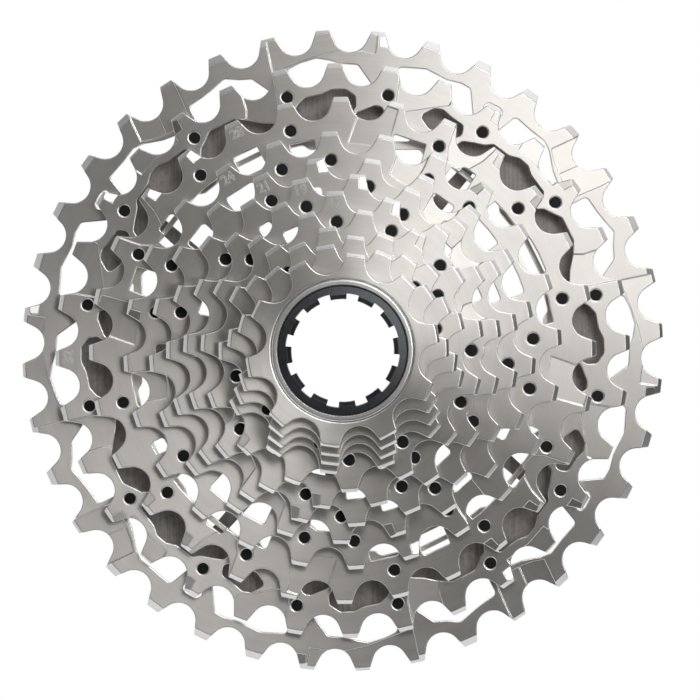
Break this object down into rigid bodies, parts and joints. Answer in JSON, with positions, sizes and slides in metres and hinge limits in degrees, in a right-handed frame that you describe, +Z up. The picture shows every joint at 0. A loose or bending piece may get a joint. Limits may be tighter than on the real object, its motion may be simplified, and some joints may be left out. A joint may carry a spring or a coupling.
{
  "type": "bicycle cassette sprocket",
  "caption": "Stepped bicycle cassette: thin toothed steel cogs in a cone on black pins, a dark back plate with spokes, and a turning black lock tube in its middle.",
  "frame": {"origin": "on the spin axis, in the plane of the carrier's hub-side face", "axes": "+Y along the spin axis towards the wheel (inboard), -Y towards the smallest cog, +Z up, +X to the right of a viewer who faces the smallest cog"},
  "size_m": [0.148, 0.0432, 0.148],
  "materials": {
    "cog_steel": "nickel-plated steel, fine turned grain",
    "pin_black": "blackened steel",
    "carrier_alloy": "dark grey anodised, faint grain",
    "tube_alloy": "black anodised, satin",
    "collar_steel": "bright turned",
    "ring_steel": "spring steel"
  },
  "bodies": {
    "cassette": {"cog_36t": "cog_steel", "cog_32t": "cog_steel", "cog_28t": "cog_steel", "cog_24t": "cog_steel", "cog_21t": "cog_steel", "cog_19t": "cog_steel", "cog_17t": "cog_steel", "cog_15t": "cog_steel", "small_cog_cluster": "cog_steel", "pins_36_32": "pin_black", "pins_32_28": "pin_black", "pins_28_24": "pin_black", "pins_24_21": "pin_black", "pins_21_19": "pin_black", "pins_19_17": "pin_black", "pins_17_15": "pin_black", "pins_15_13": "pin_black", "carrier_hub": "carrier_alloy", "carrier_spokes": "carrier_alloy", "carrier_rim": "carrier_alloy"},
    "lock": {"lock_tube": "tube_alloy", "tube_collar": "collar_steel", "snap_ring": "ring_steel"}
  },
  "joints": [
    {"name": "lock_tube_turn", "type": "hinge", "parent": "cassette", "child": "lock", "pos_m": [0, 0, 0], "axis": [0, 1, 0], "continuous": true}
  ]
}
